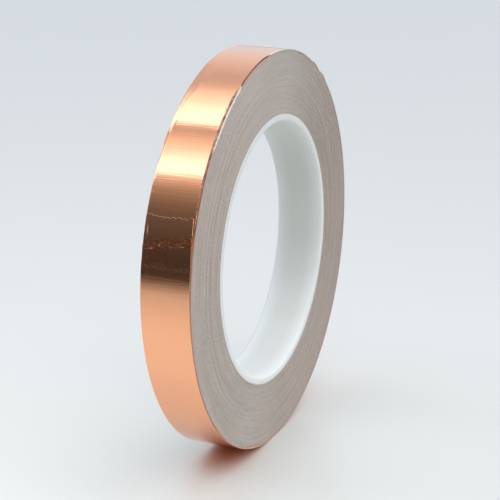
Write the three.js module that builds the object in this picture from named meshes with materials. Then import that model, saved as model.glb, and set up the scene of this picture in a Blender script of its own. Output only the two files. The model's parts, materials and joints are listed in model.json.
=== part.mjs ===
// A roll of copper foil tape, the self-adhesive strip that is wrapped round the edges of stained glass.
// Millimetres, +Z up. The roll stands on its rim. Its axis is the Y axis, and the origin is the centre
// of the core's bore, half way across the width. The side at -Y is the front.
//
// The strip is a laminate of copper foil (outside), acrylic adhesive and a paper release liner (inside).
// It winds up over the left side, clockwise seen from the front, and its free end is a short tab there.
import * as THREE from 'three';

// Tape laminate
const TAPE_WIDTH = 15;
const FOIL_THICKNESS = 0.035;
const ADHESIVE_THICKNESS = 0.03;
const LINER_THICKNESS = 0.057;
const TURN_PITCH = FOIL_THICKNESS + ADHESIVE_THICKNESS + LINER_THICKNESS;
const LAYER_GAP = 0.005; // kept on both faces of every layer, so that bonded layers stay separate solids

// Roll
const ROLL_RADIUS = 60;

// Core: a moulded ring for a 76.2 mm (3 inch) spindle
const CORE_BORE_RADIUS = 38.5;
const CORE_RADIUS = 40.7;
const CORE_CHAMFER = 0.4;

// Double-sided tape that holds the start of the strip on the core
const ANCHOR_THICKNESS = 0.09;
const ANCHOR_WIDTH = 12;
const ANCHOR_FIRST_CORNER = 60;
const ANCHOR_LAST_CORNER = 70;
const WINDING_BORE_RADIUS = CORE_RADIUS + ANCHOR_THICKNESS + 2 * LAYER_GAP;

// One turn is divided into straight steps, and one of them lies flat under the roll, so that it stands.
// Corners count clockwise, seen from the front, and corner 0 is the left end of that lowest step.
const STEPS_PER_TURN = 100;
const STEP_ANGLE = (2 * Math.PI) / STEPS_PER_TURN;
const START_CORNER = 62; // where the strip starts, on the core
const CREASE_CORNER = 28.6; // where the tab is creased, half way across
const CREASE_SKEW = 0.26; // the crease is this much further on at the front, and less at the back
const END_CORNER = 31; // the strip's free end
const END_GAP = 0.08; // of a step, left where one length of the strip is drawn apart from the next

// The last turn creeps sideways, towards the back, as the strip nears its free end
const START_OFFSET = 0.5;
const START_OFFSET_STEPS = 16;
const END_OFFSET = 1.1;
const END_OFFSET_STEPS = 11;

// The last turn is loose near the top, where it stands off the turn beneath it
const LOOSE_HEIGHT = 0.4;
const LOOSE_MIDDLE = -46.5;
const LOOSE_HALF_STEPS = 8;

const COPPER = new THREE.MeshStandardMaterial({ color: 0xc98a66, metalness: 0.95, roughness: 0.22 });
const ADHESIVE = new THREE.MeshStandardMaterial({ color: 0xd9cdb2, metalness: 0, roughness: 0.5 });
const LINER_PAPER = new THREE.MeshStandardMaterial({ color: 0xf1f0ea, metalness: 0, roughness: 0.6 });
const WOUND_EDGES = new THREE.MeshStandardMaterial({ color: 0xb9aca3, metalness: 0.2, roughness: 0.7 });
const CORE_PLASTIC = new THREE.MeshStandardMaterial({ color: 0xe6ebea, metalness: 0, roughness: 0.4 });
const ANCHOR_TAPE = new THREE.MeshStandardMaterial({ color: 0xe3ddca, metalness: 0, roughness: 0.6 });

function smoothStep(t) {
  const c = Math.min(Math.max(t, 0), 1);
  return c * c * (3 - 2 * c);
}

// Every length along the strip is given in corners: 31 is the free end, and 31 - 100 is one turn before it.

// Radius of the copper face near the outside: it grows by one pitch a turn, up to the free end.
function outsideRadius(at) {
  return ROLL_RADIUS - (TURN_PITCH * (END_CORNER - at)) / STEPS_PER_TURN;
}

// The same for the last turn, with its loose place.
function lastTurnRadius(at) {
  const fromMiddle = Math.abs(at - LOOSE_MIDDLE) / LOOSE_HALF_STEPS;
  return outsideRadius(at) + LOOSE_HEIGHT * (1 - smoothStep(fromMiddle));
}

// Radius of the copper face of the first turn, on the core.
function firstTurnRadius(at) {
  return WINDING_BORE_RADIUS + TURN_PITCH * (1 + (at - START_CORNER) / STEPS_PER_TURN);
}

// How far the last turn has crept towards the back.
function lastTurnOffset(at) {
  const fromStart = (at - (CREASE_CORNER - STEPS_PER_TURN)) / START_OFFSET_STEPS;
  const toEnd = Math.max(0, 1 + (at - END_CORNER) / END_OFFSET_STEPS);
  return START_OFFSET * (1 - smoothStep(fromStart)) + END_OFFSET * toEnd ** 2;
}

// X and Z of a corner between two steps, at a radius.
function corner(at, radius) {
  const angle = (at + 0.5) * STEP_ANGLE - Math.PI / 2;
  return new THREE.Vector2(-radius * Math.cos(angle), radius * Math.sin(angle));
}

// The same between corners: the point lies on the straight line that joins them.
function stepPoint(at, radiusAt) {
  const before = Math.floor(at);
  const first = corner(before, radiusAt(before));
  const second = corner(before + 1, radiusAt(before + 1));
  return first.lerp(second, at - before);
}

// Both ends of a length, and every corner between them.
function stationsBetween(from, to) {
  const stations = [from];
  for (let at = Math.floor(from) + 1; at < to; at += 1) {
    stations.push(at);
  }
  stations.push(to);
  return stations;
}

// A thin band that follows the steps from one place to another: a rectangle of the band's thickness and
// width, carried along them and closed at both ends. An end can be cut askew, further on at the front.
function bandGeometry({ from, to, innerRadius, outerRadius, width, offset, fromSkew = 0, toSkew = 0 }) {
  const stations = stationsBetween(from, to);
  const skews = stations.map(() => 0);
  skews[0] = fromSkew;
  skews[stations.length - 1] = toSkew;

  const positions = [];
  stations.forEach((at, i) => {
    const atFront = at + skews[i];
    const atBack = at - skews[i];
    const corners = [
      [atFront, innerRadius, offset(at) - width / 2],
      [atBack, innerRadius, offset(at) + width / 2],
      [atBack, outerRadius, offset(at) + width / 2],
      [atFront, outerRadius, offset(at) - width / 2],
    ];
    for (const [place, radius, y] of corners) {
      const point = stepPoint(place, radius);
      positions.push(point.x, y, point.y);
    }
  });

  const triangles = [];
  for (let i = 0; i < stations.length - 1; i += 1) {
    for (let side = 0; side < 4; side += 1) {
      const a = 4 * i + side;
      const b = 4 * i + ((side + 1) % 4);
      triangles.push(a, b, b + 4);
      triangles.push(a, b + 4, a + 4);
    }
  }
  const last = 4 * (stations.length - 1);
  triangles.push(0, 2, 1, 0, 3, 2);
  triangles.push(last, last + 1, last + 2, last, last + 2, last + 3);

  const geometry = new THREE.BufferGeometry();
  geometry.setAttribute('position', new THREE.Float32BufferAttribute(positions, 3));
  geometry.setIndex(triangles);
  geometry.computeVertexNormals();
  return geometry;
}

// Depths of each layer's two faces under the strip's copper face.
const LAYERS = {
  foil: { top: 0, bottom: FOIL_THICKNESS, material: COPPER },
  adhesive: {
    top: FOIL_THICKNESS + LAYER_GAP,
    bottom: FOIL_THICKNESS + ADHESIVE_THICKNESS - LAYER_GAP,
    material: ADHESIVE,
  },
  liner: {
    top: FOIL_THICKNESS + ADHESIVE_THICKNESS,
    bottom: TURN_PITCH - 2 * LAYER_GAP,
    material: LINER_PAPER,
  },
};

// One length of the strip, as a mesh for each layer. Its copper face lies at copperRadius.
function tapeLength(name, { copperRadius, ...band }) {
  return Object.entries(LAYERS).map(([layerName, layer]) => {
    const geometry = bandGeometry({
      ...band,
      innerRadius: (at) => copperRadius(at) - layer.bottom,
      outerRadius: (at) => copperRadius(at) - layer.top,
      width: TAPE_WIDTH,
    });
    const mesh = new THREE.Mesh(geometry, layer.material);
    mesh.name = `${name}_${layerName}`;
    return mesh;
  });
}

// The moulded core, turned about the roll's axis, with a chamfer on its four edges.
function core() {
  const half = TAPE_WIDTH / 2;
  const c = CORE_CHAMFER;
  const outline = [
    [CORE_BORE_RADIUS, -half + c],
    [CORE_BORE_RADIUS + c, -half],
    [CORE_RADIUS - c, -half],
    [CORE_RADIUS, -half + c],
    [CORE_RADIUS, half - c],
    [CORE_RADIUS - c, half],
    [CORE_BORE_RADIUS + c, half],
    [CORE_BORE_RADIUS, half - c],
    [CORE_BORE_RADIUS, -half + c],
  ].map(([r, y]) => new THREE.Vector2(r, y));
  const geometry = new THREE.LatheGeometry(outline, STEPS_PER_TURN, STEP_ANGLE / 2, 2 * Math.PI);
  const mesh = new THREE.Mesh(geometry, CORE_PLASTIC);
  mesh.name = 'core';
  return mesh;
}

function coreAnchorTape() {
  const geometry = bandGeometry({
    from: ANCHOR_FIRST_CORNER,
    to: ANCHOR_LAST_CORNER,
    innerRadius: () => CORE_RADIUS + LAYER_GAP,
    outerRadius: () => CORE_RADIUS + LAYER_GAP + ANCHOR_THICKNESS,
    width: ANCHOR_WIDTH,
    offset: () => 0,
  });
  const mesh = new THREE.Mesh(geometry, ANCHOR_TAPE);
  mesh.name = 'core_anchor_tape';
  return mesh;
}

// All turns between the first and the last. Both outlines are spirals, with a step of one turn's pitch:
// outside at the crease, where the last turn starts, and inside where the first turn ends.
function woundTurns() {
  const underLastTurn = (at) => outsideRadius(at) - TURN_PITCH - LAYER_GAP;
  const outside = stationsBetween(CREASE_CORNER - STEPS_PER_TURN, CREASE_CORNER).map((at) =>
    stepPoint(at, underLastTurn),
  );
  const inside = []; // runs the other way round, as a hole's outline does
  for (let at = START_CORNER + STEPS_PER_TURN; at >= START_CORNER; at -= 1) {
    inside.push(corner(at, firstTurnRadius(at) + LAYER_GAP));
  }
  const shape = new THREE.Shape(outside);
  shape.holes.push(new THREE.Path(inside));
  const geometry = new THREE.ExtrudeGeometry(shape, { depth: TAPE_WIDTH, bevelEnabled: false });
  geometry.rotateX(Math.PI / 2);
  geometry.translate(0, TAPE_WIDTH / 2, 0);
  const mesh = new THREE.Mesh(geometry, WOUND_EDGES);
  mesh.name = 'wound_turns';
  return mesh;
}

const firstTurn = tapeLength('first_turn', {
  from: START_CORNER,
  to: START_CORNER + STEPS_PER_TURN - END_GAP,
  copperRadius: firstTurnRadius,
  offset: () => 0,
});
const outerTurn = tapeLength('outer_turn', {
  from: CREASE_CORNER - STEPS_PER_TURN + END_GAP,
  to: CREASE_CORNER,
  toSkew: CREASE_SKEW,
  copperRadius: lastTurnRadius,
  offset: lastTurnOffset,
});
const tab = tapeLength('tab', {
  from: CREASE_CORNER + END_GAP,
  to: END_CORNER,
  fromSkew: CREASE_SKEW,
  copperRadius: outsideRadius,
  offset: lastTurnOffset,
});

const roll = new THREE.Group();
roll.add(core(), coreAnchorTape(), ...firstTurn, woundTurns(), ...outerTurn, ...tab);

export default roll;
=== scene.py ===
"""A roll of copper foil tape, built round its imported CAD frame.

Lengths are millimetres until a mesh is made. A place along the strip is its turn angle in degrees: 0 is level
with the axis on the left, 90 is the top, and the angle grows clockwise seen from the front (-Y), the way the
strip is wound. One turn earlier is 360 less. A place across the strip is its distance towards the back from
the middle of the roll.
"""
import json
import math

import bpy
import numpy as np
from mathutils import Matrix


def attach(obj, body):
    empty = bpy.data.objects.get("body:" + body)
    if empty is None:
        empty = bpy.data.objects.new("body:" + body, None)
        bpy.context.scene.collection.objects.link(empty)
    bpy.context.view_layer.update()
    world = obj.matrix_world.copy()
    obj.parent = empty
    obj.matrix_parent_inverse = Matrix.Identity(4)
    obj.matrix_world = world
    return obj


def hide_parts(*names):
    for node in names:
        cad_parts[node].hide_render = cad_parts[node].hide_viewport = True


MM = 0.001
MICRON = 0.000001

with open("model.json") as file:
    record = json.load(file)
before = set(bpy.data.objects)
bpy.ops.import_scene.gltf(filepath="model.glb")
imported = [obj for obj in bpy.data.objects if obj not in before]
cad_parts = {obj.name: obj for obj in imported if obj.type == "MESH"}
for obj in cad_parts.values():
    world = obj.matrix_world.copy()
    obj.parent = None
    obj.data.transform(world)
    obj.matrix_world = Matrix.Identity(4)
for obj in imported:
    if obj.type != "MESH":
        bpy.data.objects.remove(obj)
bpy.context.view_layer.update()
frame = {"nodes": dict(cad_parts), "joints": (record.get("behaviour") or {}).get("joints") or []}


# ---------------------------------------------------------------- sizes, from the frame

def node_points(node):
    """Corners of a CAD node, in millimetres."""
    vertices = frame["nodes"][node].data.vertices
    co = np.empty(len(vertices) * 3)
    vertices.foreach_get("co", co)
    return co.reshape(-1, 3) / MM


def node_radii(node):
    """Smallest and largest distance of a CAD node's corners from the roll's axis."""
    points = node_points(node)
    radii = np.hypot(points[:, 0], points[:, 2])
    return radii.min(), radii.max()


FOIL = 0.035
ADHESIVE = 0.030
LINER = 0.057
PITCH = FOIL + ADHESIVE + LINER
LAYER_DEPTHS = {"foil": (0, FOIL), "adhesive": (FOIL, FOIL + ADHESIVE), "liner": (FOIL + ADHESIVE, PITCH)}

HALF_WIDTH = node_points("wound_turns")[:, 1].max()
BORE_RADIUS, CORE_RADIUS = node_radii("core")
ANCHOR_RADII = node_radii("core_anchor_tape")
WINDING_BORE = node_radii("first_turn_liner")[0]
END_RADIUS = node_radii("tab_foil")[1]

CREASE = next(joint for joint in frame["joints"] if joint["name"] == "tab_lift")
CREASE_POINT = np.array(CREASE["pos_m"]) / MM
CREASE_ANGLE = math.degrees(math.atan2(CREASE_POINT[2], -CREASE_POINT[0]))
CREASE_LINE = np.array(CREASE["axis"])
CREASE_SLOPE = math.degrees(math.hypot(CREASE_LINE[0], CREASE_LINE[2]) / abs(CREASE_LINE[1]) / END_RADIUS)
END_POINTS = node_points("tab_foil")
END_ANGLE = np.degrees(np.arctan2(END_POINTS[:, 2], -END_POINTS[:, 0])).max()
MM_PER_DEGREE = math.radians(END_RADIUS)

TURNS = int((END_RADIUS - WINDING_BORE) / PITCH) - 2


# ---------------------------------------------------------------- shapes in numbers

def smooth(t):
    """Rises from 0 to 1 as t goes from 0 to 1, level at both ends."""
    t = np.clip(t, 0, 1)
    return t * t * (3 - 2 * t)


def hump(x, middle, half):
    """1 at the middle, 0 at half a width from it and beyond, smooth between."""
    return 1 - smooth(np.abs(x - middle) / half)


def noise(seed, x, y=0.0):
    """Smooth noise from -1 to 1: random values on a unit lattice, joined by smooth steps both ways."""
    table = np.random.default_rng(seed).uniform(-1, 1, (512, 128))
    x, y = np.broadcast_arrays(np.asarray(x, float), np.asarray(y, float))
    i, j = np.floor(x).astype(int), np.floor(y).astype(int)
    u, v = smooth(x - i), smooth(y - j)

    def at(di, dj):
        return table[(i + di) % 512, (j + dj) % 128]

    return (at(0, 0) * (1 - u) + at(1, 0) * u) * (1 - v) + (at(0, 1) * (1 - u) + at(1, 1) * u) * v


def turn_point(angle, radius, y):
    """A point at a turn angle and a radius: X = -r cos a, Z = r sin a."""
    a = np.radians(angle)
    return np.stack(np.broadcast_arrays(-radius * np.cos(a), y, radius * np.sin(a)), axis=-1)


def spiral_radius(angle):
    """Radius of the strip's copper face: one pitch more each turn, up to the free end."""
    return END_RADIUS - PITCH * (END_ANGLE - angle) / 360


# ---------------------------------------------------------------- meshes

def make_piece(name, points, faces, material, along=None, across=None, attributes=None, sharp=35):
    """A mesh object at the origin, from points in millimetres. It is smooth except at edges sharper than an
    angle in degrees."""
    mesh = bpy.data.meshes.new(name)
    mesh.from_pydata((points * MM).tolist(), [], faces.tolist())
    if along is not None:
        uv = mesh.uv_layers.new(name="strip")
        corner = np.empty(len(mesh.loops), int)
        mesh.loops.foreach_get("vertex_index", corner)
        uv.data.foreach_set("uv", (np.stack([along, across], axis=-1)[corner] * MM).ravel())
    for key, values in (attributes or {}).items():
        layer = mesh.attributes.new(key, "FLOAT", "POINT")
        layer.data.foreach_set("value", values.astype(np.float32))
    mesh.polygons.foreach_set("use_smooth", np.ones(len(mesh.polygons), bool))
    mesh.materials.append(material)
    mesh.update()
    mesh.set_sharp_from_angle(angle=math.radians(sharp))
    piece = bpy.data.objects.new(name, mesh)
    bpy.context.scene.collection.objects.link(piece)
    return piece


def grid_faces(rows, columns, first=0):
    """Quads of a grid whose points run row by row."""
    index = first + np.arange(rows * columns).reshape(rows, columns)
    return np.stack([index[:-1, :-1], index[1:, :-1], index[1:, 1:], index[:-1, 1:]], axis=-1).reshape(-1, 4)


def shell(outer, inner):
    """A closed body between two grids of points: both grids, the inner one turned over, and a wall round
    them."""
    rows, columns = outer.shape[:2]
    count = rows * columns
    index = np.arange(count).reshape(rows, columns)
    border = np.concatenate([index[:-1, 0], index[-1, :-1], index[:0:-1, -1], index[0, :0:-1]])
    after = np.roll(border, -1)
    wall = np.stack([after, border, border + count, after + count], axis=-1)
    faces = np.concatenate([grid_faces(rows, columns), grid_faces(rows, columns, count)[:, ::-1], wall])
    return np.concatenate([outer.reshape(-1, 3), inner.reshape(-1, 3)]), faces


def grid_normals(points):
    """Unit normals of a grid: the cross product of its two directions."""
    normal = np.cross(np.gradient(points, axis=0), np.gradient(points, axis=1))
    return normal / np.linalg.norm(normal, axis=-1, keepdims=True)


def revolve(profile, steps=360):
    """A closed ring: an outline of (radius, y) pairs, anticlockwise with y to the right, turned about Y."""
    angles = np.arange(steps) * 360 / steps
    radius, y = np.array(profile).T
    points = turn_point(angles[:, None], radius[None, :], y[None, :])
    count = len(profile)
    index = np.arange(steps * count).reshape(steps, count)
    across = np.roll(index, -1, axis=1)
    faces = np.stack([index, np.roll(index, -1, axis=0), np.roll(across, -1, axis=0), across], axis=-1)
    return points.reshape(-1, 3), faces.reshape(-1, 4)


# ---------------------------------------------------------------- shader nodes

class Value:
    """A number socket that takes part in arithmetic. Every operation adds a Math node."""

    def __init__(self, shader, socket):
        self.shader, self.socket = shader, socket

    def math(self, operation, *others):
        node = self.shader.node("ShaderNodeMath", {"operation": operation}, dict(enumerate((self, *others))))
        return Value(self.shader, node.outputs[0])

    def __add__(self, other):
        return self.math("ADD", other)

    def __sub__(self, other):
        return self.math("SUBTRACT", other)

    def __mul__(self, other):
        return self.math("MULTIPLY", other)

    def __truediv__(self, other):
        return self.math("DIVIDE", other)

    def __rsub__(self, other):
        return self * -1 + other

    def __lt__(self, other):
        return self.math("LESS_THAN", other)

    def __gt__(self, other):
        return self.math("GREATER_THAN", other)

    __radd__ = __add__
    __rmul__ = __mul__


class Shader:
    """Builds the nodes of one material or of the world."""

    def __init__(self, owner):
        owner.use_nodes = True
        self.tree = owner.node_tree
        self.tree.nodes.clear()

    def node(self, kind, settings=None, sockets=None):
        """A node of a kind, with its settings first and then the values or links of its sockets."""
        node = self.tree.nodes.new(kind)
        for key, setting in (settings or {}).items():
            if key == "stops":
                self.set_stops(node.color_ramp, setting)
            else:
                setattr(node, key, setting)
        for key, value in (sockets or {}).items():
            if isinstance(value, Value):
                value = value.socket
            if isinstance(value, bpy.types.NodeSocket):
                self.tree.links.new(value, node.inputs[key])
            else:
                node.inputs[key].default_value = value
        return node

    def set_stops(self, ramp, stops):
        """Gives a ramp its stops, pairs of a position and a colour."""
        while len(ramp.elements) < len(stops):
            ramp.elements.new(1.0)
        for element, (position, shade) in zip(ramp.elements, stops):
            element.position = position
            element.color = shade

    def value(self, kind, settings=None, sockets=None, output=0):
        """One output of a new node, ready for arithmetic."""
        return Value(self, self.node(kind, settings, sockets).outputs[output])

    def attribute(self, name):
        """A number stored at each of the piece's points."""
        return self.value("ShaderNodeAttribute", {"attribute_name": name}, output="Fac")

    def parts(self, place):
        """The three numbers of a place or a direction."""
        node = self.node("ShaderNodeSeparateXYZ", None, {0: place})
        return [Value(self, output) for output in node.outputs]

    def rise(self, value, start, end):
        """0 where the value is at the start, 1 where it is at the end, and smooth between."""
        sockets = {0: value, 1: start, 2: end}
        return self.value("ShaderNodeMapRange", {"interpolation_type": "SMOOTHSTEP"}, sockets)

    def noise(self, place, scale, detail=2.0, roughness=0.5):
        """Noise about 0, from -1 to 1 or so."""
        sockets = {"Vector": place, "Scale": scale, "Detail": detail, "Roughness": roughness}
        return self.value("ShaderNodeTexNoise", None, sockets) * 2 - 1

    def stretched(self, place, factors):
        """The same place with each axis scaled."""
        node = self.node("ShaderNodeVectorMath", {"operation": "MULTIPLY"}, {0: place, 1: factors})
        return node.outputs[0]

    def mix(self, factor, a, b):
        """Colour a where the factor is 0 and b where it is 1."""
        node = self.node("ShaderNodeMix", {"data_type": "RGBA"}, {0: factor, 6: a, 7: b})
        return node.outputs[2]

    def bump(self, height, distance):
        """A normal turned by a height, which is in units of the distance."""
        return self.node("ShaderNodeBump", None, {"Height": height, "Distance": distance}).outputs[0]

    def surface(self, sockets):
        """The Principled shader and the output, with every socket given."""
        principled = self.node("ShaderNodeBsdfPrincipled", None, sockets)
        self.node("ShaderNodeOutputMaterial", None, {"Surface": principled.outputs[0]})


def object_place(shader):
    return shader.node("ShaderNodeTexCoord").outputs["Object"]


def strip_place(shader):
    """Metres along the strip and across it."""
    return shader.node("ShaderNodeUVMap", {"uv_map": "strip"}).outputs[0]


def colour(red, green, blue):
    return (red, green, blue, 1)


# ---------------------------------------------------------------- materials

# painted shade: the darker colour given to creased foil, on the crease band and the handled margin
CREASE_SHADED_COPPER = colour(0.66, 0.21, 0.075)
# dark brown: dirt on the handled margin, and painted shade in the crevice at the front edge of the turn
# beneath
GRIME_AND_SHADE = colour(0.17, 0.052, 0.02)
# painted shade on the paper's cut end and slit edge
PAPER_SHADE = colour(0.50, 0.31, 0.235)


def copper_face():
    """Rolled foil: bright, with fine lines straight across the strip, a faint grain and a few rubbed spots.
    It is duller where it is creased, with painted shade darkening its colour on the creased band and on the
    handled margin, and brown with dirt on the handled margin and with painted shade in the crevice along the
    front edge of the turn beneath."""
    material = bpy.data.materials.new("copper_face")
    s = Shader(material)
    strip = strip_place(s)
    crumple, grime = s.attribute("crumple"), s.attribute("grime")
    lines = s.noise(s.stretched(strip, (1500, 60, 1)), 1.0, 2)
    hairs = s.noise(s.stretched(strip, (4200, 160, 1)), 1.0, 2)
    bands = s.noise(s.stretched(strip, (210, 25, 1)), 1.0, 2)
    grain = s.noise(strip, 2600, 2)
    rubbed = s.noise(strip, 160, 3)
    tone = s.mix(rubbed * 0.3 + lines * 0.15 + 0.5, colour(0.94, 0.435, 0.24), colour(0.97, 0.475, 0.275))
    s.surface({
        # painted shade darkens creased foil and the crevice at the turn beneath's front edge; the handled
        # margin also has brown dirt
        "Base Color": s.mix(grime, s.mix(crumple * 0.75, tone, CREASE_SHADED_COPPER), GRIME_AND_SHADE),
        "Metallic": 1 - grime * 1.2,
        "Roughness": 0.11 + lines * 0.02 + rubbed * 0.02 + crumple * 0.10 + grime * 0.4,
        "Coat Weight": 0.35,
        "Coat Roughness": 0.1,
        "Normal": s.bump(lines * 4.5 + hairs * 2.2 + bands * 5 + grain * 1.8, MICRON),
    })
    return material


def side_tone(s, place):
    """Tone of the slit edges, about 0: fine grain, lines round the roll, and cloudiness."""
    x, _, z = s.parts(place)
    radius = (x * x + z * z).math("SQRT")
    turn = z.math("ARCTAN2", x)
    ring = s.node("ShaderNodeCombineXYZ", None, {0: radius * 2300, 1: turn * 1.8})
    rings = s.noise(ring.outputs[0], 1.0, 3, 0.7)
    return rings * 0.85 + s.noise(place, 3000, 2) * 1.3 + s.noise(place, 60, 2) * 0.15


def slit_copper():
    """Foil seen on its slit edge: smeared, dull and a little brown."""
    material = bpy.data.materials.new("slit_copper")
    s = Shader(material)
    place = object_place(s)
    s.surface({
        "Base Color": s.mix(side_tone(s, place) + 0.5, colour(0.33, 0.245, 0.205),
                            colour(0.52, 0.405, 0.345)),
        "Metallic": 0.3,
        "Roughness": 0.5,
        "Normal": s.bump(s.noise(place, 6000, 2), 10 * MICRON),
    })
    return material


def adhesive_layer():
    """Clear acrylic adhesive, grey where dust has settled on its cut edge."""
    material = bpy.data.materials.new("acrylic_adhesive")
    s = Shader(material)
    place = object_place(s)
    s.surface({
        "Base Color": s.mix(side_tone(s, place) + 0.5, colour(0.31, 0.285, 0.25), colour(0.51, 0.47, 0.425)),
        "Roughness": 0.4,
        "Normal": s.bump(s.noise(place, 5000, 2), 10 * MICRON),
    })
    return material


def liner_edge():
    """The release paper's slit edge: fibrous, and grey with dust."""
    material = bpy.data.materials.new("liner_slit_edge")
    s = Shader(material)
    place = object_place(s)
    s.surface({
        "Base Color": s.mix(side_tone(s, place) + 0.5, colour(0.50, 0.47, 0.435), colour(0.73, 0.70, 0.65)),
        "Roughness": 0.7,
        "Normal": s.bump(s.noise(place, 4000, 3), 12 * MICRON),
    })
    return material


def liner_paper():
    """White release paper: smooth on its coated side, faintly fibrous, and with painted shade along its cut
    end and its slit edge."""
    material = bpy.data.materials.new("release_liner_paper")
    s = Shader(material)
    place = object_place(s)
    grime = s.attribute("grime")
    clean_tone = s.mix(s.noise(place, 90, 2) * 0.4 + 0.5, colour(0.80, 0.77, 0.75), colour(0.88, 0.86, 0.84))
    s.surface({
        "Base Color": s.mix(grime, clean_tone, PAPER_SHADE),
        "Roughness": 0.5,
        "Normal": s.bump(s.noise(place, 2600, 3), 6 * MICRON),
    })
    return material


def core_plastic():
    """Milky moulded plastic with faint turned rings, a satin skin and a few dark specks of dust. Its colour
    is lighter towards the rims and darker in the middle of the bore, painted light for where light comes in
    at the rims."""
    material = bpy.data.materials.new("milky_core_plastic")
    s = Shader(material)
    place = object_place(s)
    from_middle = s.parts(place)[1].math("ABSOLUTE") / MM
    # painted light: lighter towards the rims, darker in the middle of the bore
    rim = s.rise(from_middle, 2.0, 7.4)
    cells = s.node("ShaderNodeTexVoronoi", None, {"Vector": place, "Scale": 75.0})
    chosen = Value(s, cells.outputs["Color"]).math("ADD", 0) > 0.8
    speck = (Value(s, cells.outputs["Distance"]) < 0.02) * chosen
    cloud = s.noise(place, 45, 2) * 0.12
    clean_tone = s.mix(rim * 0.85 + cloud, colour(0.62, 0.63, 0.60), colour(0.74, 0.76, 0.745))
    s.surface({
        "Base Color": s.mix(speck, clean_tone, colour(0.25, 0.22, 0.2)),
        "Roughness": 0.36 + s.noise(place, 300, 2) * 0.05,
        "Subsurface Weight": 0.3,
        "Subsurface Radius": (1.0, 1.0, 1.0),
        "Subsurface Scale": 0.003,
        "Normal": s.bump(s.noise(s.stretched(place, (1, 12, 1)), 110, 2), 20 * MICRON),
    })
    return material


def anchor_paper():
    """Creamy double-sided tape."""
    material = bpy.data.materials.new("anchor_tape_paper")
    s = Shader(material)
    place = object_place(s)
    s.surface({
        "Base Color": s.mix(s.noise(place, 500, 3) * 0.4 + 0.5, colour(0.7, 0.66, 0.56),
                            colour(0.8, 0.76, 0.66)),
        "Roughness": 0.6,
        "Normal": s.bump(s.noise(place, 3000, 2), 20 * MICRON),
    })
    return material


# painted light: the floor's colour is lighter near the roll and darker and bluer far off
FLOOR_PAINTED_LIT = colour(0.775, 0.77, 0.73)
FLOOR_PAINTED_DIM = colour(0.455, 0.47, 0.465)
PAINTED_LIGHT_PLACE = (-0.12, 0.05)  # metres, as are the next three
PAINTED_LIGHT_REACH = 0.3
# painted shadow and painted copper reflection on the floor under the roll
COPPER_SHADOW_PLACE = (-0.017, 0.0005)
COPPER_SHADOW_REACH = (0.013, 0.0065)
PAINTED_COPPER_SHADOW = colour(0.60, 0.30, 0.19)


def pale_floor():
    """A smooth pale sheet with a soft shine, and painted light: it is whitest beside the roll, and at a
    distance d from there it gets darker and a little bluer, as exp(-d / reach), a painted falloff of the
    light. Under the roll it has a painted copper-tinted shadow and reflection, which fades as exp(-d squared)
    with d measured in reaches."""
    material = bpy.data.materials.new("pale_floor")
    s = Shader(material)
    x, y, _ = s.parts(object_place(s))
    aside, ahead = x - PAINTED_LIGHT_PLACE[0], y - PAINTED_LIGHT_PLACE[1]
    # painted light falloff across the floor
    painted_light = ((aside * aside + ahead * ahead).math("SQRT") * -1 / PAINTED_LIGHT_REACH).math("EXPONENT")
    across, along = (x - COPPER_SHADOW_PLACE[0]) / COPPER_SHADOW_REACH[0], (y - COPPER_SHADOW_PLACE[1]) / COPPER_SHADOW_REACH[1]
    # painted shadow and copper reflection under the roll
    copper_shadow = ((across * across + along * along) * -1).math("EXPONENT")
    sheet = s.mix(painted_light, FLOOR_PAINTED_DIM, FLOOR_PAINTED_LIT)
    s.surface({
        "Base Color": s.mix(copper_shadow, sheet, PAINTED_COPPER_SHADOW),
        "Roughness": 0.3,
    })
    return material


# ---------------------------------------------------------------- how the outside of the roll is shaped

HOLLOW_DEPTH = 0.3
HOLLOW_TURNS = 10  # the hollow is shared out among this many turns
KINKED_TURNS = 6  # the kinks die out over this many turns
KINKS = (  # turn angle of the middle, half width in degrees, lift
    (116, 5, -0.12), (121.5, 4, 0.26), (125.5, 3.5, -0.22), (129.5, 4, 0.24), (135, 5, -0.1),
)
CREASE_BAND = 2.9  # width of the crumpled band beyond the crease

WAVE_SEED = 5
CRUMPLE_SEED = 11
EDGE_SEED = 23


def crease_angle(y):
    """The crease runs straight across, a little askew."""
    return CREASE_ANGLE - CREASE_SLOPE * y


def once_round(angle):
    """The turn angle brought between -180 and 180, for what shows at one place on the roll."""
    return (angle + 180) % 360 - 180


def creep(angle):
    """How far the last turn has moved towards the back: half a millimetre at its start, at the loose place
    and low on the left, and more than a millimetre at its end. Where two of these meet, the root of the sum
    of their squares joins them."""
    start = 0.5 * (1 - smooth((angle - CREASE_ANGLE + 360) / 57.6))
    low = 0.45 * smooth((angle + 60) / 9) * (1 - smooth((angle - 2) / 12))
    lifted = 0.42 * smooth((angle + 297) / 3) * (1 - smooth((angle + 280) / 12))
    end = 1.1 * np.clip(1 + (angle - END_ANGLE) / 39.6, 0, None) ** 2
    return np.sqrt(start**2 + low**2 + lifted**2 + end**2)


def crumple_mask(angle, y):
    """1 in the band beyond the crease, and 0 before the crease and farther up the tab."""
    away = (angle - crease_angle(y)) * MM_PER_DEGREE
    return smooth((away - 0.22) / 0.35) * (1 - smooth((away - CREASE_BAND + 1.2 + 0.08 * y) / 1.6))


def margin_mask(angle, y):
    """1 on the creased front margin of the last turn, where it was handled, from above the tab to the top."""
    place = once_round(angle)
    handled = smooth((place - 23) / 3) * smooth((66 - place) / 5) * (angle < -180)
    return handled * smooth((-6.72 - y) / 0.1)


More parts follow.
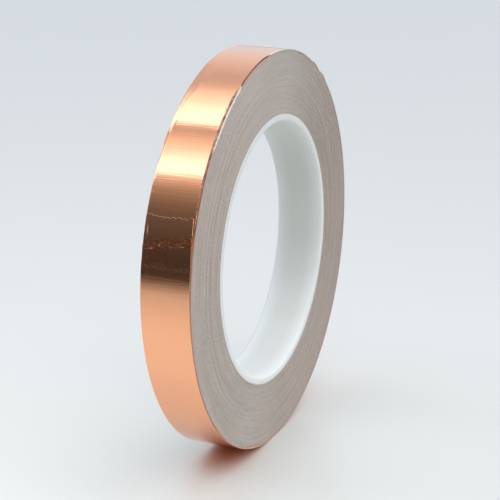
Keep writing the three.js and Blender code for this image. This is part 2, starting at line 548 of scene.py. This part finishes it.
def looseness(angle, y):
    """Height of the kinks beyond the top, less with each turn down, and of the hollow before them, where the
    turns beneath have sunk away from the last one at its front edge."""
    place = once_round(angle)
    turns_down = np.ceil((CREASE_ANGLE - angle) / 360) - 1
    hollow = smooth((place - 63) / 2.5) * (1 - smooth((place - 82) / 12)) * smooth((-4.5 - y) / 2)
    height = -HOLLOW_DEPTH * hollow * (turns_down > 0) * np.clip(1 - (turns_down - 1) / HOLLOW_TURNS, 0, 1)
    for middle, half, lift in KINKS:
        height = height + lift * hump(place, middle, half) * np.clip(1 - turns_down / KINKED_TURNS, 0, 1)
    return height


def last_turn_rise(angle, y):
    """Height over the plain spiral: the loose place and the kinks, long handling waves, the wrinkle along the
    back edge, the handled front margin, faint slanting wrinkles on the tab, and the crumpled crease."""
    place = once_round(angle)
    along = angle * MM_PER_DEGREE
    height = looseness(angle, y)
    waves = 0.007 * noise(WAVE_SEED, along / 14, y / 9) + 0.002 * noise(WAVE_SEED + 1, along / 4, y / 5)
    height = height + waves

    beyond_wrinkle = y - 7.1 + ((place - 33) / 21) ** 2
    wrinkled = smooth((place - 2) / 8) * smooth((76 - place) / 10)
    wrinkle = (0.045 + 0.02 * hump(place, 17, 9)) * (0.75 + 0.5 * noise(EDGE_SEED + 10, along / 1.3))
    height = height + wrinkled * wrinkle * np.exp(-((beyond_wrinkle / 0.18) ** 2))
    bent = smooth((place - 14) / 3) * smooth((76 - place) / 10)
    height = height - bent * 0.06 * np.clip(beyond_wrinkle, 0, None)

    handled = margin_mask(angle, y)
    dents = noise(EDGE_SEED + 2, along / 0.7, y / 0.5) + 0.6 * noise(EDGE_SEED + 3, along / 0.35, y / 0.3)
    height = height + handled * (0.05 * dents - 0.2 * np.clip(-6.9 - y, 0, None))

    away = (angle - crease_angle(y)) * MM_PER_DEGREE
    on_tab = smooth((away - 0.2) / 1.5)
    slanting = noise(WAVE_SEED + 2, (along + 0.35 * y) / 0.7, (y - 0.35 * along) / 6)
    height = height + on_tab * 0.004 * slanting
    broken = np.clip(0.4 + 0.9 * noise(CRUMPLE_SEED, along / 3.0, y / 0.8), 0.1, None)
    ridge = 0.032 * np.exp(-(((away - 0.25) / 0.1) ** 2)) * broken
    crumples = noise(CRUMPLE_SEED + 1, along / 0.6, y / 0.75)
    crumples = crumples + 0.5 * noise(CRUMPLE_SEED + 2, along / 0.3, y / 0.4)
    return height + ridge + crumple_mask(angle, y) * 0.05 * crumples


def under_turn_rise(angle, y):
    """The turn beneath: the same loose place, its own waves."""
    along = angle * MM_PER_DEGREE
    return looseness(angle, y) - 0.01 + 0.004 * noise(WAVE_SEED + 3, along / 12, y / 8)


def torn_place(place):
    """1 low on the left, just before the floor, where the foil's front edge is torn and crumpled."""
    return smooth((place + 82) / 5) * (1 - smooth((place + 64) / 13))


def lip(layer, angle):
    """How far a layer hangs down over the front side. On the last turn the foil's slit edge is rolled low on
    the left, ragged at the handled margin and torn near the floor. Above the handled margin the white liner
    hangs out instead, and its edge shows again over the top."""
    place = once_round(angle)
    along = angle * MM_PER_DEGREE
    ragged = 0.5 + 0.5 * noise(EDGE_SEED, along / 1.1) + 0.35 * noise(EDGE_SEED + 1, along / 0.4)
    if layer == "foil":
        rolled = 0.16 * smooth((place + 60) / 8)
        ragged_edge = 0.2 * smooth((place - 20) / 3) * (1 - smooth((place - 40) / 6)) * ragged
        torn = (0.7 + 0.5 * hump(place, -73, 9)) * torn_place(place) * (0.3 + 0.7 * ragged)
        rolled = rolled * (1 - smooth((place - 16) / 4))
        return np.clip(rolled + ragged_edge + torn, 0.03, None)
    if layer == "liner":
        shown = 0.5 * smooth((place - 38) / 8) * (1 - smooth((place - 63) / 3))
        edge = 0.32 * smooth((place - 82) / 5) * (1 - smooth((place - 122) / 12))
        return np.clip(shown + edge, 0.02, None)
    return np.full_like(angle, 0.02)


def stays(layer, angle):
    """1 where a layer has stayed level with the side of the roll while the last turn crept back: the liner
    above the handled margin and over the top, the foil where it is torn."""
    place = once_round(angle)
    if layer == "liner":
        return smooth((place - 36) / 8) * (1 - smooth((place - 62) / 3)) + smooth((place - 83) / 4)
    if layer == "foil":
        return torn_place(place)
    return np.zeros_like(angle)


def nowhere(layer, angle):
    """No part of the layer has stayed: all of it moves together."""
    return np.zeros_like(angle)


# ---------------------------------------------------------------- strips of the three layers

FRONT, BACK = -HALF_WIDTH, HALF_WIDTH
LIP_SHARES = (1.0, 0.75, 0.5, 0.3, 0.15)
LIP_ROUNDING = 0.12
LIP_TURN = math.radians(86)
BACK_DROOP = math.radians(74)
FRONT_MARGIN = 1.3
BACK_MARGIN = 2.2
SEAM = 0.3  # degrees past the crease where the last turn takes over from the one beneath
PACK_RECESS = 0.1  # the wound turns' front edges stand this far behind the last turn's


def places_across(margin, middle, back):
    """Places across the strip: shares of the lip, in front of the front edge, then a fine margin, a coarse
    middle and a fine back margin."""
    return np.concatenate([
        FRONT - np.array(LIP_SHARES),
        np.linspace(FRONT, FRONT + FRONT_MARGIN, margin),
        np.linspace(FRONT + FRONT_MARGIN, BACK - BACK_MARGIN, middle + 2)[1:-1],
        np.linspace(BACK - BACK_MARGIN, BACK, back),
    ])


def strip_grid(layer, angles, across, move, rise, hang, reach):
    """Points of the copper face of one layer's strip, which lies on the spiral plus the rise and is moved
    towards the back. Its lip is an arc down over the front side and then straight on. What overhangs the
    back edge of the turns beneath droops over it."""
    shift = move(angles)
    front = FRONT + shift * (1 - reach(layer, angles))
    back = BACK + shift
    y = front + (np.maximum(across, FRONT) - FRONT) * (back - front) / (BACK - FRONT)
    height = rise(angles, y)
    over = np.clip(y - BACK, 0, None)
    y = y - over * (1 - math.cos(BACK_DROOP))
    height = height - over * math.sin(BACK_DROOP)

    reached = np.clip(FRONT - across, 0, None) * hang(layer, angles)
    turned = np.minimum(reached / LIP_ROUNDING, LIP_TURN)
    straight = np.clip(reached - LIP_ROUNDING * LIP_TURN, 0, None)
    crumpled = np.abs(noise(EDGE_SEED + 8, angles * MM_PER_DEGREE / 0.45, reached / 0.25))
    crumpled = crumpled * np.clip(reached / 2, 0, 0.2)
    y = y - LIP_ROUNDING * np.sin(turned) - straight * math.cos(LIP_TURN) - crumpled
    height = height - LIP_ROUNDING * (1 - np.cos(turned)) - straight * math.sin(LIP_TURN)
    return turn_point(angles, spiral_radius(angles) + height, y), y


def build_strip(name, layer, angles, across, material, move, rise, hang=lip, reach=stays, marks=None):
    """A closed layer of a strip: its copper face set in by the depths of the layer's two sides."""
    face, y = strip_grid(layer, angles, across, move, rise, hang, reach)
    normal = grid_normals(face)
    top, bottom = LAYER_DEPTHS[layer]
    points, faces = shell(face - normal * top, face - normal * bottom)
    along = np.broadcast_to(angles * MM_PER_DEGREE, y.shape).ravel()
    side = np.broadcast_to(across, y.shape).ravel()
    marks = {key: np.tile(mark(angles, y).ravel(), 2) for key, mark in (marks or {}).items()}
    return make_piece(name, points, faces, material, np.tile(along, 2), np.tile(side, 2), marks)


def crumple_and_shade_marks(angle, y):
    """Where the foil is creased: duller, and given painted shade in its colour, fully on the crease band and
    partly on the handled margin.
    """
    return np.clip(crumple_mask(angle, y) + 0.6 * margin_mask(angle, y), 0, 1)


def uncreased(angle, y):
    """Smooth foil all over."""
    return np.zeros_like(y)


def handled_grime(angle, y):
    """Brown blotches on the handled margin."""
    blotches = noise(EDGE_SEED + 9, angle * MM_PER_DEGREE / 0.9, y / 0.4)
    return margin_mask(angle, y) * (0.55 + 0.45 * smooth(blotches * 1.3 + 0.5))


# painted shade: the paper is darkened along its cut end and slit edge
def paper_edge_shade(angle, y):
    """Painted shade along the cut end of the paper and its slit edge, except where the edge shows white."""
    place = once_round(angle)
    white = smooth((place - 34) / 4) * (1 - smooth((place - 126) / 8))
    return np.maximum(smooth((angle - END_ANGLE + 4) / 1.5), (1 - white) * smooth((FRONT + 0.3 - y) / 0.1))


MARKS = {
    "foil": {"crumple": crumple_and_shade_marks, "grime": handled_grime},
    "adhesive": {},
    "liner": {"grime": paper_edge_shade},
}


# painted shade: this darkens the crevice under the last turn's crept edge
def crevice_shade_margin(angle, y):
    """Painted shade in the crevice along the front edge of the turn beneath, where the last turn's crept edge
    stands over it: dark brown, ragged, and darkest from above the tab to the top.
    """
    along = angle * MM_PER_DEGREE
    ragged = 0.08 * noise(EDGE_SEED + 4, along / 0.8) + 0.05 * noise(EDGE_SEED + 5, along / 0.3)
    place = once_round(angle)
    darkest = smooth((place - 16) / 4) * (1 - smooth((place - 64) / 6))
    return (0.62 + 0.3 * darkest) * smooth((FRONT + 1.25 + ragged - y) / 0.2)


def outer_turn(materials):
    """The three layers of the last turn, which ends along the crease."""
    start = CREASE_ANGLE - 360 + SEAM
    detailed, plainer = np.arange(start, -266, 0.22), np.arange(-266, -8, 0.5)
    plain = np.concatenate([detailed, plainer, np.linspace(-8, CREASE_ANGLE, 150)])[:, None]
    ending = smooth((plain + 8) / (CREASE_ANGLE + 8))
    for layer in LAYER_DEPTHS:
        across = (places_across(9, 15, 11) if layer == "foil" else places_across(4, 3, 4))[None, :]
        angles = plain + (crease_angle(across) - CREASE_ANGLE) * ending
        piece = build_strip(
            f"outer_turn_{layer}_band", layer, angles, across, materials[layer], creep, last_turn_rise,
            marks=MARKS[layer],
        )
        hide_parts(f"outer_turn_{layer}")
        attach(piece, "roll")


def under_turn(materials):
    """The three layers of the turn beneath, which shows past the last turn's crept edge. Its lip is only the
    rounding of a slit edge."""
    angles = np.arange(CREASE_ANGLE - 720, CREASE_ANGLE - 360 + SEAM, 0.5)[:, None]
    for layer in LAYER_DEPTHS:
        across = (places_across(7, 6, 5) if layer == "foil" else places_across(2, 1, 2))[None, :]
        piece = build_strip(
            f"under_turn_{layer}_band", layer, angles, across, materials[layer],
            move=lambda angle: np.full_like(angle, PACK_RECESS * 0.6), rise=under_turn_rise,
            hang=lambda layer, angle: np.full_like(angle, 0.03), reach=nowhere,
            marks={"crumple": uncreased, "grime": crevice_shade_margin if layer == "foil" else paper_edge_shade},
        )
        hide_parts("wound_turns")
        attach(piece, "roll")


PINK_PITCH = 1.65
PINK_DEPTH = 0.62
LINER_PAST_FOIL = 0.11


def pinked_end(y, past):
    """Turn angle of the free end: an uneven zigzag cut on a shallow curve, the liner's a little further
    on."""
    warped = y + 0.25 * noise(EDGE_SEED + 6, y / 2.3)
    zigzag = np.abs((warped / PINK_PITCH) % 1 - 0.5) * 2
    teeth = zigzag * PINK_DEPTH * (0.75 + 0.35 * noise(EDGE_SEED + 7, y / 2.6))
    curve = 0.6 * ((y + 0.5) / 7) ** 2 - 0.35 * hump(y, -5.6, 2)
    return END_ANGLE - 0.95 + curve + (teeth + past) / MM_PER_DEGREE


def tab_lip(layer, angle):
    """The foil's slit edge is rolled over a little; the other layers end square."""
    rolled = 0.15 + 0.08 * noise(EDGE_SEED + 11, angle * MM_PER_DEGREE / 1.6)
    return rolled if layer == "foil" else np.full_like(angle, 0.03)


def tab(materials):
    """The three layers of the tab, from the crease to the pinked end."""
    across = np.concatenate([FRONT - np.array(LIP_SHARES), np.linspace(FRONT, BACK, 116)])[None, :]
    share = np.linspace(0, 1, 110)[:, None] ** 1.25
    for layer in LAYER_DEPTHS:
        start = crease_angle(across)
        past = LINER_PAST_FOIL if layer == "liner" else 0
        angles = start + (pinked_end(np.maximum(across, FRONT), past) - start) * share
        piece = build_strip(
            f"tab_{layer}_end", layer, angles, across, materials[layer], creep, last_turn_rise,
            hang=tab_lip, reach=nowhere, marks=MARKS[layer],
        )
        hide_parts(f"tab_{layer}")
        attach(piece, "tab_backing" if layer == "liner" else "foil_flap")


# ---------------------------------------------------------------- the turns beneath

WOUND_STEP = 3.0
WANDER_SEED = 41
SIDE_INSETS = {"foil": 0.0, "adhesive": 0.03, "liner": 0.012}
SIDE_FINISHES = {"foil": "slit", "adhesive": "adhesive", "liner": "liner_edge"}


def wander(angle):
    """How far back a turn's edge lies: slow drift over a few turns, a little from each turn to the next, and
    a few turns that stand back more."""
    turn = angle / 360
    drift = 0.012 * noise(WANDER_SEED, turn / 3.5)
    each = 0.035 * noise(WANDER_SEED + 1, turn * 1.37)
    sunk = 0.05 * np.clip(noise(WANDER_SEED + 2, turn * 0.9) - 0.6, 0, None) / 0.4
    return PACK_RECESS + drift + each + sunk


def wound_turns(materials):
    """The inner turns of each layer as one thin band on the spiral, three degrees a step, four corners a
    step."""
    end = CREASE_ANGLE - 720
    angles = np.arange(end - 360 * TURNS, end, WOUND_STEP)[:, None]
    for layer, depths in LAYER_DEPTHS.items():
        across = np.array([[FRONT + SIDE_INSETS[layer], BACK - SIDE_INSETS[layer]]])
        y = across + wander(angles)
        radius = spiral_radius(angles) + looseness(angles, y)
        outer, inner = (turn_point(angles, radius - depth, y) for depth in depths)
        points, faces = shell(outer, inner)
        piece = make_piece(f"wound_{layer}", points, faces, materials[SIDE_FINISHES[layer]])
        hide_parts(f"first_turn_{layer}", "wound_turns")
        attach(piece, "roll")


# ---------------------------------------------------------------- core

def core_ring(material):
    """The core: a turned outline with a long shallow chamfer in the bore's mouths and rounded outer edges."""
    mouth, lip, rounding = 1.3, 0.45, 0.14

    def corner(centre_radius, centre_y, first):
        """A quarter circle that starts at an angle."""
        turn = np.radians(first + np.linspace(0, 90, 6))
        return [(centre_radius + rounding * math.cos(t), centre_y + rounding * math.sin(t)) for t in turn]

    def chamfer(side):
        """One mouth of the bore, from the bore out to the rim's flat face."""
        return [(BORE_RADIUS + out, side * (HALF_WIDTH - depth)) for out, depth in (
            (0, mouth), (lip * 0.55, mouth * 0.35), (lip, 0.05), (lip + 0.08, 0))]

    profile = [(BORE_RADIUS, 0), *chamfer(-1)]
    profile += corner(CORE_RADIUS - rounding, -HALF_WIDTH + rounding, -90)
    profile += corner(CORE_RADIUS - rounding, HALF_WIDTH - rounding, 0)
    profile += reversed(chamfer(1))
    points, faces = revolve(profile)
    piece = make_piece("core_ring", points, faces, material, sharp=50)
    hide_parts("core")
    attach(piece, "roll")


ANCHOR_THICKNESS = 0.08


def anchor_tape(material):
    """The anchor tape: a thin curved patch on the core."""
    points = node_points("core_anchor_tape")
    angles = np.degrees(np.arctan2(points[:, 2], -points[:, 0]))
    span = np.linspace(angles.min(), angles.max(), 40)[:, None]
    across = np.linspace(points[:, 1].min(), points[:, 1].max(), 5)[None, :]
    outer = turn_point(span, ANCHOR_RADII[1], across)
    inner = turn_point(span, ANCHOR_RADII[1] - ANCHOR_THICKNESS, across)
    piece = make_piece("core_anchor_patch", *shell(outer, inner), material)
    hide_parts("core_anchor_tape")
    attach(piece, "roll")


# ---------------------------------------------------------------- floor, light and camera

def floor():
    """A square sheet twelve metres wide, level with the roll's lowest point."""
    level, size = -spiral_radius(-90.0), 6000
    corners = np.array([(x * size, y * size, level) for x, y in ((-1, -1), (1, -1), (1, 1), (-1, 1))])
    make_piece("floor", corners, np.array([[0, 1, 2, 3]]), pale_floor())


SKY_STRENGTH = 3.0
SKY_STOPS = (  # degrees over the roll from the left horizon, brightness, coolness
    (0, 0.058, -1), (8, 0.062, -1), (18, 0.098, -1), (24, 0.12, -1), (31, 0.16, -1),
    (37.5, 0.245, -1.2), (44, 0.42, -1.2), (49, 0.7, -0.5), (51.8, 0.95, 0),
    (54, 2.3, 3), (58, 2.4, 3), (63, 1.9, 2), (69, 1.35, 0.5), (76, 0.9, 0.5), (83.3, 0.5, 1),
    (86, 2.2, 3), (89, 2.3, 3), (95, 2.15, 2), (101, 1.7, 1), (108, 1.35, 1),
    (114, 0.86, 2), (120, 0.68, 2), (127, 0.67, 2), (133, 0.74, 2), (139, 0.8, 2), (146, 0.86, 2),
    (158, 0.88, 2), (170, 0.8, 1.5), (180, 0.76, 1.5),
)
FRONT_SHARE = 0.5  # of the light from the front side, this much is even
FRONT_LEVEL = 2.0
FRONT_LOW = 0.25  # share of that level left at the horizon
SIDEWAYS_LEVEL = 0.25  # of the light low down in line with the axis
SIDEWAYS_SHARE = 0.85
BACKDROP_LEVEL = 0.72
HORIZON_SHADE = colour(0.058, 0.05, 0.046)


def sky_colour(level, coolness):
    """A light's colour, warm below 0 and cool above."""
    return tuple(level * (1 + step * coolness) / SKY_STRENGTH for step in (0, 0.035, 0.085)) + (1,)


def grey(level):
    """A colourless light of a level."""
    return colour(*(level / SKY_STRENGTH,) * 3)


def studio_light():
    """Light from all round. Over the roll's axis it changes by angle: dim low on the left, two soft panels
    overhead, a pale wall on the right. Towards the front side it evens out, and it is dim low down in line
    with the axis. Seen directly it is a plain pale backdrop."""
    world = bpy.data.worlds.new("studio")
    bpy.context.scene.world = world
    s = Shader(world)
    x, y, up = s.parts(s.node("ShaderNodeTexCoord").outputs["Generated"])
    half_turns = up.math("ARCTAN2", x * -1) / math.pi
    stops = [(degrees / 180, sky_colour(level, coolness)) for degrees, level, coolness in SKY_STOPS]
    over_axis = s.node("ShaderNodeValToRGB", {"stops": stops}, {"Fac": half_turns}).outputs[0]

    from_front = s.mix(s.rise(up, 0.0, 0.4), grey(FRONT_LEVEL * FRONT_LOW), grey(FRONT_LEVEL))
    sky = s.mix(s.rise(y, 0.28, -0.1) * FRONT_SHARE, over_axis, from_front)
    sideways, low = s.rise(y.math("ABSOLUTE"), 0.55, 0.9), s.rise(up, 0.5, 0.05)
    sky = s.mix(sideways * low * SIDEWAYS_SHARE, sky, grey(SIDEWAYS_LEVEL))
    seen = s.value("ShaderNodeLightPath", output="Is Camera Ray")
    sky = s.mix(seen, sky, sky_colour(BACKDROP_LEVEL, 1))
    light = s.node("ShaderNodeBackground", None, {"Color": sky, "Strength": SKY_STRENGTH})
    s.node("ShaderNodeOutputWorld", None, {"Surface": light.outputs[0]})


def dark_horizon():
    """A low dark board far to the left, seen only in reflections: it stands where the room ends, and fades
    out towards the floor."""
    distance, height, near, far = 270, 66, -400, 1200
    level = -END_RADIUS + 0.5
    corners = [(-distance, near, level), (-distance, far, level), (-distance, far, level + height),
               (-distance, near, level + height)]
    material = bpy.data.materials.new("dark_horizon")
    s = Shader(material)
    height_above_axis = s.parts(object_place(s))[2] / MM
    clear = s.node("ShaderNodeBsdfTransparent")
    dim = s.node("ShaderNodeEmission", None, {"Color": HORIZON_SHADE, "Strength": 1.0})
    shaders = {0: s.rise(height_above_axis, -57.0, -3.0), 1: clear.outputs[0], 2: dim.outputs[0]}
    mixed = s.node("ShaderNodeMixShader", None, shaders)
    s.node("ShaderNodeOutputMaterial", None, {"Surface": mixed.outputs[0]})
    piece = make_piece("dark_horizon", np.array(corners, float), np.array([[0, 1, 2, 3]]), material)
    for sight in ("camera", "diffuse", "transmission", "volume_scatter", "shadow"):
        setattr(piece, f"visible_{sight}", False)


CAMERA_AZIMUTH = -66.86  # degrees from straight in front, towards the right
CAMERA_ELEVATION = 16.63
CAMERA_DISTANCE = 484.8
CAMERA_SHIFT = (-0.84, -0.92)
CAMERA_LENS = 116.0


def camera():
    """A long lens, looking at the roll from the front left and a little above."""
    azimuth, elevation = math.radians(CAMERA_AZIMUTH), math.radians(CAMERA_ELEVATION)
    back = np.array([math.sin(azimuth) * math.cos(elevation), -math.cos(azimuth) * math.cos(elevation),
                     math.sin(elevation)])
    right = np.array([math.cos(azimuth), math.sin(azimuth), 0])
    up = np.cross(back, right)
    place = (CAMERA_DISTANCE * back + CAMERA_SHIFT[0] * right + CAMERA_SHIFT[1] * up) * MM
    data = bpy.data.cameras.new("camera")
    data.lens = CAMERA_LENS
    data.clip_start = 0.01
    seat = bpy.data.objects.new("camera", data)
    matrix = np.eye(4)
    matrix[:3, 0], matrix[:3, 1], matrix[:3, 2], matrix[:3, 3] = right, up, back, place
    seat.matrix_world = matrix.T
    bpy.context.scene.collection.objects.link(seat)
    bpy.context.scene.camera = seat
    bpy.context.scene.view_settings.view_transform = "Standard"


# ---------------------------------------------------------------- the whole roll

camera()
studio_light()
dark_horizon()
floor()
layers = {
    "foil": copper_face(), "slit": slit_copper(), "adhesive": adhesive_layer(),
    "liner": liner_paper(), "liner_edge": liner_edge(),
}
core_ring(core_plastic())
anchor_tape(anchor_paper())
wound_turns(layers)
under_turn(layers)
outer_turn(layers)
tab(layers)
